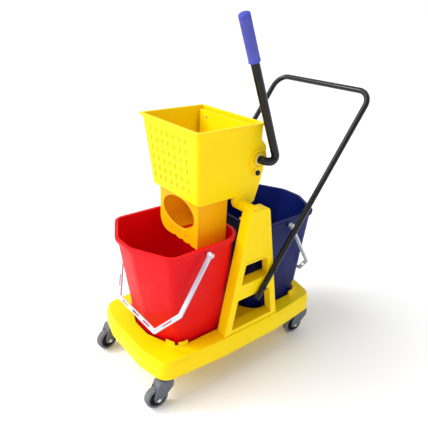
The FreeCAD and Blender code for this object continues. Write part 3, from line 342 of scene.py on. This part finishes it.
def tub_block(name):
    """A block with the tub's six-sided plan, wide at the rim and drawn in at the floor."""
    clear_selection()
    depth = rim_shoulder - rim_inner
    bpy.ops.mesh.primitive_cube_add(size=1.0, location=(0, between_tubs + rim_inner + depth / 2,
                                                        (tub_rim + tub_floor) / 2))
    tub = bpy.context.object
    tub.name = name
    tub.scale = (2 * rim_half, depth, tub_rim - tub_floor)
    bpy.ops.object.transform_apply(location=True, rotation=False, scale=True)
    edit(tub)
    pick(lambda f: f.normal.y > 0.9)
    bpy.ops.mesh.extrude_region_move(TRANSFORM_OT_translate={"value": (0, rim_nose - rim_shoulder, 0)})
    bpy.ops.transform.resize(value=(nose_half / rim_half, 1, 1))
    near_floor = lambda v: v.co.z < tub_floor + 0.001
    moves = ((rim_inner, floor_inner), (rim_shoulder, floor_shoulder), (rim_nose, floor_nose))
    for old, new in moves:
        pick(lambda v: near_floor(v) and abs(v.co.y - between_tubs - old) < 0.001, "VERT")
        bpy.ops.transform.translate(value=(0, new - old, 0))
    pick(lambda v: near_floor(v) and abs(v.co.x) > nose_half + 0.001, "VERT")
    bpy.ops.transform.resize(value=(floor_half / rim_half, 1, 1))
    return tub


tub = tub_block("blue_tub")
print("block:", len(tub.data.vertices), "vertices, nose at y",
      round(max(v.co.y for v in tub.data.vertices), 3))

# %% Rounded corners
def upright(edge):
    """True for an edge that runs from the floor to the rim."""
    return abs(edge.verts[0].co.z - edge.verts[1].co.z) > 0.3


def corner_at(edge, low, high):
    """True for an upright edge whose top lies between two distances from the middle of the trolley."""
    top = max(edge.verts, key=lambda v: v.co.z)
    return upright(edge) and low < top.co.y - between_tubs < high


inner_round, shoulder_round, nose_round = 73 * MM, 21 * MM, 11 * MM
nearby = 0.01
edit(tub)
for place, offset in ((rim_inner, inner_round), (rim_shoulder, shoulder_round),
                      (rim_nose, nose_round)):
    pick(lambda e: corner_at(e, place - nearby, place + nearby), "EDGE")
    bpy.ops.mesh.bevel(offset_type="OFFSET", offset=offset, segments=10, profile=0.5,
                       affect="EDGES")
print("rounded tub:", len(tub.data.polygons), "faces")

# %% [markdown]
# Near the floor the tub steps in by a few millimetres, so that stacked tubs don't jam. Two cuts across
# the walls give the step two rings of vertices to stand on, and everything below the lower cut is drawn
# in. The bottom edge is then rounded, and the top face is deleted to open the tub.

# %% Step, bottom edge and open top
step_low, step_high, step_in = 214 * MM, 223 * MM, 4 * MM
bottom_round = 6 * MM


def cut_across(height):
    """Cut every wall of the mesh in edit mode at one height."""
    bpy.ops.mesh.select_all(action="SELECT")
    bpy.ops.mesh.bisect(plane_co=(0, 0, height), plane_no=(0, 0, 1))


edit(tub)
cut_across(step_high)
cut_across(step_low)
pick(lambda v: v.co.z < step_low + 0.0005, "VERT")
tub_middle = between_tubs + (rim_inner + rim_nose) / 2
step_scale = (1 - step_in / floor_half, 1 - 2 * step_in / (floor_nose - floor_inner), 1)
bpy.ops.transform.resize(value=step_scale, center_override=(0, tub_middle, 0))
pick(lambda f: f.normal.z < -0.9)
bpy.ops.transform.translate(value=(0, 0, bottom_round))
bpy.ops.mesh.inset(thickness=bottom_round)
bpy.ops.transform.translate(value=(0, 0, -bottom_round))
pick(lambda f: f.normal.z > 0.9 and f.calc_center_median().z > tub_rim - 0.001)
bpy.ops.mesh.delete(type="FACE")
bpy.ops.object.mode_set(mode="OBJECT")
print("open tub:", len(tub.data.polygons), "faces")

# %% [markdown]
# The wall gets its thickness from Solidify, turned inwards so that the outside keeps its size. The lip
# starts as the top band of outer wall faces: it is cut off from the rest at the lip's lower edge and
# pushed outwards. A small bevel then softens the lip, the step and the bottom, as a mould does.

# %% Wall and lip
lip_width, lip_height, wall = 7 * MM, 11 * MM, 3 * MM
lip_skin, lip_roof, mould_round = 1.6 * MM, 2.6 * MM, 1.4 * MM
add_modifier(tub, "SOLIDIFY", thickness=wall, offset=-1.0, use_even_offset=True)
edit(tub)
cut_across(tub_rim - lip_height)


def on_outer_band(face):
    """Outer wall faces of the top band: they look away from the tub's own middle."""
    centre = face.calc_center_median()
    outward = Vector((centre.x, centre.y - tub_middle, 0))
    upright_face = abs(face.normal.z) < 0.5
    return centre.z > tub_rim - lip_height and upright_face and face.normal.dot(outward) > 0


picked = pick(on_outer_band)
bpy.ops.mesh.extrude_region_shrink_fatten(TRANSFORM_OT_shrink_fatten={"value": lip_width})
pick(lambda f: f.normal.z < -0.7 and f.calc_center_median().z > tub_rim - lip_height - 0.002)
bpy.ops.mesh.inset(thickness=lip_skin)
bpy.ops.mesh.extrude_region_move(
    TRANSFORM_OT_translate={"value": (0, 0, lip_height - lip_roof)})
print("lip raised from", picked, "faces")
add_modifier(tub, "BEVEL", width=mould_round, segments=3, limit_method="ANGLE",
             angle_limit=math.radians(40))
smooth(tub, 40)
print("finished tub:", len(tub.data.polygons), "faces; it spans",
      [round(v, 4) for v in tub.dimensions])

# %% [markdown]
# The bail hangs on two bosses, one on each side of the tub. A boss is a short round bar that grows out
# of the wall just under the lip. The second tub is the same moulding in red, turned end for end, so the
# finished mesh is copied and turned half round about the middle of the trolley.

# %% Bosses and the second tub
pin_low, pin_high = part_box("blue_bail_pins")
boss_y, boss_z = (pin_low.y + pin_high.y) / 2, (pin_low.z + pin_high.z) / 2
boss_inner, boss_outer, boss_radius = 158 * MM, 169 * MM, 10 * MM


def boss(side):
    """A short round bar with a softened rim, through the tub's wall."""
    clear_selection()
    bpy.ops.mesh.primitive_cylinder_add(vertices=40, radius=boss_radius, depth=boss_outer - boss_inner,
                                        location=(side * (boss_outer + boss_inner) / 2, boss_y, boss_z),
                                        rotation=(0, math.pi / 2, 0))
    bar = bpy.context.object
    bpy.ops.object.transform_apply(location=True, rotation=True, scale=True)
    edit(bar)
    pick(lambda f: f.normal.x * side > 0.9)
    bpy.ops.mesh.inset(thickness=1.2 * MM)
    bpy.ops.transform.translate(value=(side * 1.0 * MM, 0, 0))
    bpy.ops.object.mode_set(mode="OBJECT")
    smooth(bar, 35)
    return bar


def join(target, *others):
    """Make several objects one piece."""
    take(target)
    for other in others:
        other.select_set(True)
    bpy.ops.object.join()


def turned_copy(piece, name):
    """A copy with its own mesh, turned half round about the middle of the trolley."""
    take(piece)
    bpy.ops.object.duplicate(linked=False)
    copy = bpy.context.object
    copy.name = name
    edit(copy)
    bpy.ops.mesh.select_all(action="SELECT")
    bpy.ops.transform.rotate(value=math.pi, orient_axis="Z", center_override=(0, between_tubs, 0))
    bpy.ops.object.mode_set(mode="OBJECT")
    return copy


join(tub, boss(1), boss(-1))
red_tub = turned_copy(tub, "red_tub")
for piece, finish, node, slot in ((tub, blue, "blue_bucket", "blue_tub"),
                                  (red_tub, red, "red_bucket", "red_tub")):
    piece.data.materials.clear()
    piece.data.materials.append(finish)
    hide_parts(node)
    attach(piece, node)
print("each tub has", len(red_tub.data.polygons), "faces")

# %% [markdown]
# ## Bent tubes
#
# The push handle and the lever are steel tubes bent on a former. Extruding a circle along a straight run
# and spinning it round a bend does the same in Blender: the spin's centre is the middle of the bend,
# and the ring keeps square to the tube all the way.

# %% A tube from straight runs and bends
def bent_tube(name, points, bends, radius, sides=32):
    """Tube through the corner points, each corner turned on its own bend radius."""
    clear_selection()
    heading = (points[1] - points[0]).normalized()
    bpy.ops.mesh.primitive_circle_add(vertices=sides, radius=radius, fill_type="NGON", location=points[0],
                                      rotation=heading.to_track_quat("Z", "Y").to_euler())
    tube = bpy.context.object
    tube.name = name
    bpy.ops.object.transform_apply(location=True, rotation=True, scale=True)
    bpy.ops.object.mode_set(mode="EDIT")
    bpy.ops.mesh.select_all(action="SELECT")
    here = points[0]
    for i, bend in enumerate(bends):
        corner = points[i + 1]
        back, ahead = (points[i] - corner).normalized(), (points[i + 2] - corner).normalized()
        half = back.angle(ahead) / 2
        start = corner + back * bend / math.tan(half)
        bpy.ops.mesh.extrude_region_move(TRANSFORM_OT_translate={"value": start - here})
        axis = back.cross(ahead).normalized()
        centre = corner + (back + ahead).normalized() * bend / math.sin(half)
        bpy.ops.mesh.spin(steps=12, angle=math.pi - 2 * half, center=centre, axis=axis)
        here = corner + ahead * bend / math.tan(half)
    bpy.ops.mesh.extrude_region_move(TRANSFORM_OT_translate={"value": points[-1] - here})
    bpy.ops.mesh.select_all(action="SELECT")
    bpy.ops.mesh.remove_doubles(threshold=0.00001)
    bpy.ops.mesh.normals_make_consistent(inside=False)
    bpy.ops.object.mode_set(mode="OBJECT")
    smooth(tube, 40)
    return tube


handle_low, handle_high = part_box("push_handle")
handle_radius, handle_bend = 9.5 * MM, 50 * MM
handle_side = handle_high.x - handle_radius
foot_y, foot_z = between_tubs + 4 * MM, 279 * MM
top_y, top_z = handle_high.y - handle_radius, 901 * MM
handle_points = [Vector((handle_side, foot_y, foot_z)), Vector((handle_side, top_y, top_z)),
                 Vector((-handle_side, top_y, top_z)), Vector((-handle_side, foot_y, foot_z))]
push_handle = bent_tube("push_handle_tube", handle_points, [handle_bend, handle_bend],
                        handle_radius)
print("push handle reaches", [round(v, 3) for v in push_handle.dimensions], "CAD",
      [round(v, 3) for v in handle_high - handle_low])

# %% The lever's crank
lever_low, lever_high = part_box("lever_tube")
axle_low, axle_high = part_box("lever_axle")
lever_radius, crank_bend, elbow_bend = 12.5 * MM, 16 * MM, 15 * MM
lever_side = 173 * MM
axle_y, axle_z = (axle_low.y + axle_high.y) / 2, (axle_low.z + axle_high.z) / 2
elbow = Vector((lever_side, between_tubs + 75 * MM, 724 * MM))
lever_top = Vector((lever_side, between_tubs - 91 * MM, 1127 * MM))
lever_points = [Vector((lever_low.x, axle_y, axle_z)), Vector((elbow.x, axle_y, axle_z)),
                elbow, lever_top]
lever = bent_tube("lever_crank", lever_points, [crank_bend, elbow_bend], lever_radius)
print("lever reaches", [round(v, 3) for v in lever.dimensions], "CAD",
      [round(v, 3) for v in lever_high - lever_low])
for piece, node, body in ((push_handle, "push_handle", "base"), (lever, "lever_tube", "lever")):
    piece.data.materials.append(black_coat)
    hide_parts(node)
    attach(piece, body)

# %% [markdown]
# ## The grip
#
# A hand grip is a sleeve pushed over the end of the lever. This one is closed at the top, has a collar
# at the bottom where the hand stops, and is finely ribbed between. The ribs are every other strip of
# faces of a many-sided cylinder, pushed in by half a millimetre: real geometry, so they hold their
# highlights from every side.

# %% Ribbed grip
grip_radius, grip_length, grip_over = 16.5 * MM, 126 * MM, 4 * MM
grip_ribs = 44
grip_skin, rib_gap, rib_depth = 0.6 * MM, 0.25 * MM, 0.5 * MM
collar_end, ribs_start, ribs_stop = 5 * MM, 9 * MM, grip_length - 14 * MM
crown_steps = ((2.5 * MM, 3.2 * MM), (4.0 * MM, 1.6 * MM))


def stand_along(piece, start, direction):
    """Turn a piece built along +Z so that it runs along a direction, and place its foot."""
    take(piece)
    piece.rotation_mode = "QUATERNION"
    piece.rotation_quaternion = direction.to_track_quat("Z", "Y")
    piece.location = start
    bpy.ops.object.transform_apply(location=True, rotation=True, scale=True)


clear_selection()
bpy.ops.mesh.primitive_cylinder_add(vertices=2 * grip_ribs, radius=grip_radius - grip_skin,
                                    depth=grip_length, location=(0, 0, grip_length / 2))
grip = bpy.context.object
grip.name = "ribbed_grip"
bpy.ops.object.transform_apply(location=True, rotation=True, scale=True)
edit(grip)
pick(lambda f: f.normal.z > 0.9)
for inset, rise in crown_steps:
    bpy.ops.mesh.inset(thickness=inset)
    bpy.ops.transform.translate(value=(0, 0, rise))
pick(lambda v: v.co.z > grip_length - 0.5 * MM, "VERT")
bpy.ops.transform.translate(value=(0, 0, -sum(rise for _, rise in crown_steps)))
for height in (collar_end, ribs_start, ribs_stop):
    cut_across(height)
pick(lambda f: f.calc_center_median().z < collar_end and abs(f.normal.z) < 0.3)
bpy.ops.transform.shrink_fatten(value=grip_skin)


def rib_groove(face):
    """True for every other strip of the ribbed length."""
    centre = face.calc_center_median()
    strip = round(math.atan2(centre.y, centre.x) / (2 * math.pi) * 2 * grip_ribs - 0.5)
    on_side = abs(face.normal.z) < 0.3
    return ribs_start < centre.z < ribs_stop and on_side and strip % 2 == 0


grooves = pick(rib_groove)
bpy.ops.mesh.inset(thickness=rib_gap, use_individual=True)
bpy.ops.transform.shrink_fatten(value=-rib_depth)
bpy.ops.object.mode_set(mode="OBJECT")
grip_heading = (lever_top - elbow).normalized()
stand_along(grip, lever_top + grip_heading * (grip_over - grip_length), grip_heading)
smooth(grip, 30)
grip.data.materials.append(grip_blue)
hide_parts("lever_grip")
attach(grip, "lever")
print("grip:", grooves, "grooves;", [round(v, 3) for v in grip.dimensions])

# %% [markdown]
# ## Caster tyres
#
# The tyre is a ring with rounded shoulders and two shallow grooves round the tread. A cylinder's rim is
# bevelled, each end is inset and opened, and the two openings are bridged to make the bore. The grooves
# are narrow bands of the outer faces pushed in. One tyre is modelled on the axis and copied four times.

# %% One tyre, four places
tyre_radius, tyre_width, bore_radius = 37.5 * MM, 24 * MM, 29 * MM
shoulder = 5 * MM
groove_inner, groove_outer, groove_depth = 3.8 * MM, 5.0 * MM, 1.0 * MM


def cut_along_axle(offset):
    """Cut the tyre square to its axle."""
    bpy.ops.mesh.select_all(action="SELECT")
    bpy.ops.mesh.bisect(plane_co=(0, 0, offset), plane_no=(0, 0, 1))


clear_selection()
bpy.ops.mesh.primitive_cylinder_add(vertices=72, radius=tyre_radius, depth=tyre_width)
tyre = bpy.context.object
edit(tyre)


def rim_edge(edge):
    """True where the rolling face meets an end face."""
    first, second = edge.link_faces
    return abs(first.normal.z - second.normal.z) > 0.5


pick(rim_edge, "EDGE")
bpy.ops.mesh.bevel(offset_type="OFFSET", offset=shoulder, segments=5, profile=0.5, affect="EDGES")
pick(lambda f: abs(f.normal.z) > 0.95 and f.calc_area() > 0.001)
bpy.ops.mesh.inset(thickness=tyre_radius - shoulder - bore_radius)
bpy.ops.mesh.delete(type="FACE")
pick(lambda e: e.is_boundary, "EDGE")
bpy.ops.mesh.bridge_edge_loops()
for offset in (-groove_outer, -groove_inner, groove_inner, groove_outer):
    cut_along_axle(offset)
pick(lambda f: f.normal.xy.length > 0.9 and f.calc_center_median().xy.length > tyre_radius - 2 * MM
     and groove_inner < abs(f.calc_center_median().z) < groove_outer)
bpy.ops.mesh.extrude_region_shrink_fatten(TRANSFORM_OT_shrink_fatten={"value": -groove_depth})
bpy.ops.object.mode_set(mode="OBJECT")
smooth(tyre, 40)
tyre.data.materials.append(tread_rubber)
for corner in corners:
    low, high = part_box("caster_tyre_" + corner)
    joint = next(j for j in frame["joints"] if j["name"] == "wheel_roll_" + corner)
    take(tyre)
    bpy.ops.object.duplicate(linked=False)
    copy = bpy.context.object
    copy.name = "grooved_tyre_" + corner
    stand_along(copy, Vector(joint["pos_m"]), Vector(joint["axis"]))
    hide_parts("caster_tyre_" + corner)
    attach(copy, "wheel_" + corner)
bpy.data.objects.remove(tyre)
print("tyres done,", len(copy.data.polygons), "faces each")

# %% [markdown]
# ## The room
#
# A white floor and a white world, as in a studio. The world is brightest at the horizon, so that the
# floor has no visible end, and dimmer overhead, so that the plastics keep their colour. One broad light
# from the left, as from a large window, makes the main shading: the tub's ends and the hopper's front
# are bright, and the lever side is deeper in tone. A small lamp adds the thin highlights on the tubes.

# %% Floor, lights and camera
def area_light(name, place, target, size, power):
    """A square lamp that faces a point."""
    light = bpy.data.lights.new(name, "AREA")
    light.shape = "SQUARE"
    light.size = size
    light.energy = power
    lamp = bpy.data.objects.new(name, light)
    lamp.location = place
    lamp.rotation_euler = (Vector(target) - Vector(place)).to_track_quat("-Z", "Y").to_euler()
    bpy.context.scene.collection.objects.link(lamp)


clear_selection()
bpy.ops.mesh.primitive_plane_add(size=300.0, location=(0, 0, 0))
floor = bpy.context.object
floor.name = "floor"
floor_material, floor_shader, *_ = new_material("floor_white")
floor_shader.inputs["Base Color"].default_value = (1.0, 1.0, 1.0, 1.0)
floor_shader.inputs["Roughness"].default_value = 0.7
floor.data.materials.append(floor_material)

sky_strength, sky_low, sky_high = 0.72, 0.06, 0.25
world = bpy.data.worlds.new("studio")
bpy.context.scene.world = world
world.use_nodes = True
sky = world.node_tree
height = sky.nodes.new("ShaderNodeSeparateXYZ")
sky.links.new(sky.nodes.new("ShaderNodeTexCoord").outputs["Generated"], height.inputs["Vector"])
dimming = sky.nodes.new("ShaderNodeMapRange")
for key, number in (("From Min", sky_low), ("From Max", sky_high),
                    ("To Min", 1.0), ("To Max", sky_strength)):
    dimming.inputs[key].default_value = number
sky.links.new(height.outputs["Z"], dimming.inputs["Value"])
sky.nodes["Background"].inputs["Color"].default_value = (1.0, 1.0, 1.0, 1.0)
sky.links.new(dimming.outputs["Result"], sky.nodes["Background"].inputs["Strength"])

middle = Vector((0.0, 0.0, 0.5))
sun_from = Vector((-0.35, -0.65, 0.67))
sun = bpy.data.lights.new("window_light", "SUN")
sun.energy = 2.15
sun.angle = math.radians(50)
sun_lamp = bpy.data.objects.new("window_light", sun)
sun_lamp.rotation_euler = sun_from.to_track_quat("Z", "Y").to_euler()
bpy.context.scene.collection.objects.link(sun_lamp)
area_light("key", (-1.6, -1.9, 2.2), middle, 0.5, 26.0)

camera_data = bpy.data.cameras.new("camera")
camera = bpy.data.objects.new("camera", camera_data)
bpy.context.scene.collection.objects.link(camera)
bpy.context.scene.camera = camera
bpy.context.scene.view_settings.view_transform = "Standard"
camera_data.sensor_width = 36.0
camera_data.lens = 38.4
azimuth, elevation, roll = math.radians(50.65), math.radians(24.79), math.radians(2.31)
ahead = Vector((-math.sin(azimuth) * math.cos(elevation), math.cos(azimuth) * math.cos(elevation),
                -math.sin(elevation)))
right = Vector((math.cos(azimuth), math.sin(azimuth), 0.0))
up = right.cross(ahead)
right, up = (right * math.cos(roll) + up * math.sin(roll),
             up * math.cos(roll) - right * math.sin(roll))
turn = Matrix((right, up, -ahead)).transposed().to_4x4()
camera_place = (1.0737, -0.9341, 1.1480)
camera.matrix_world = Matrix.Translation(camera_place) @ turn
print("camera at", tuple(round(v, 3) for v in camera.location))
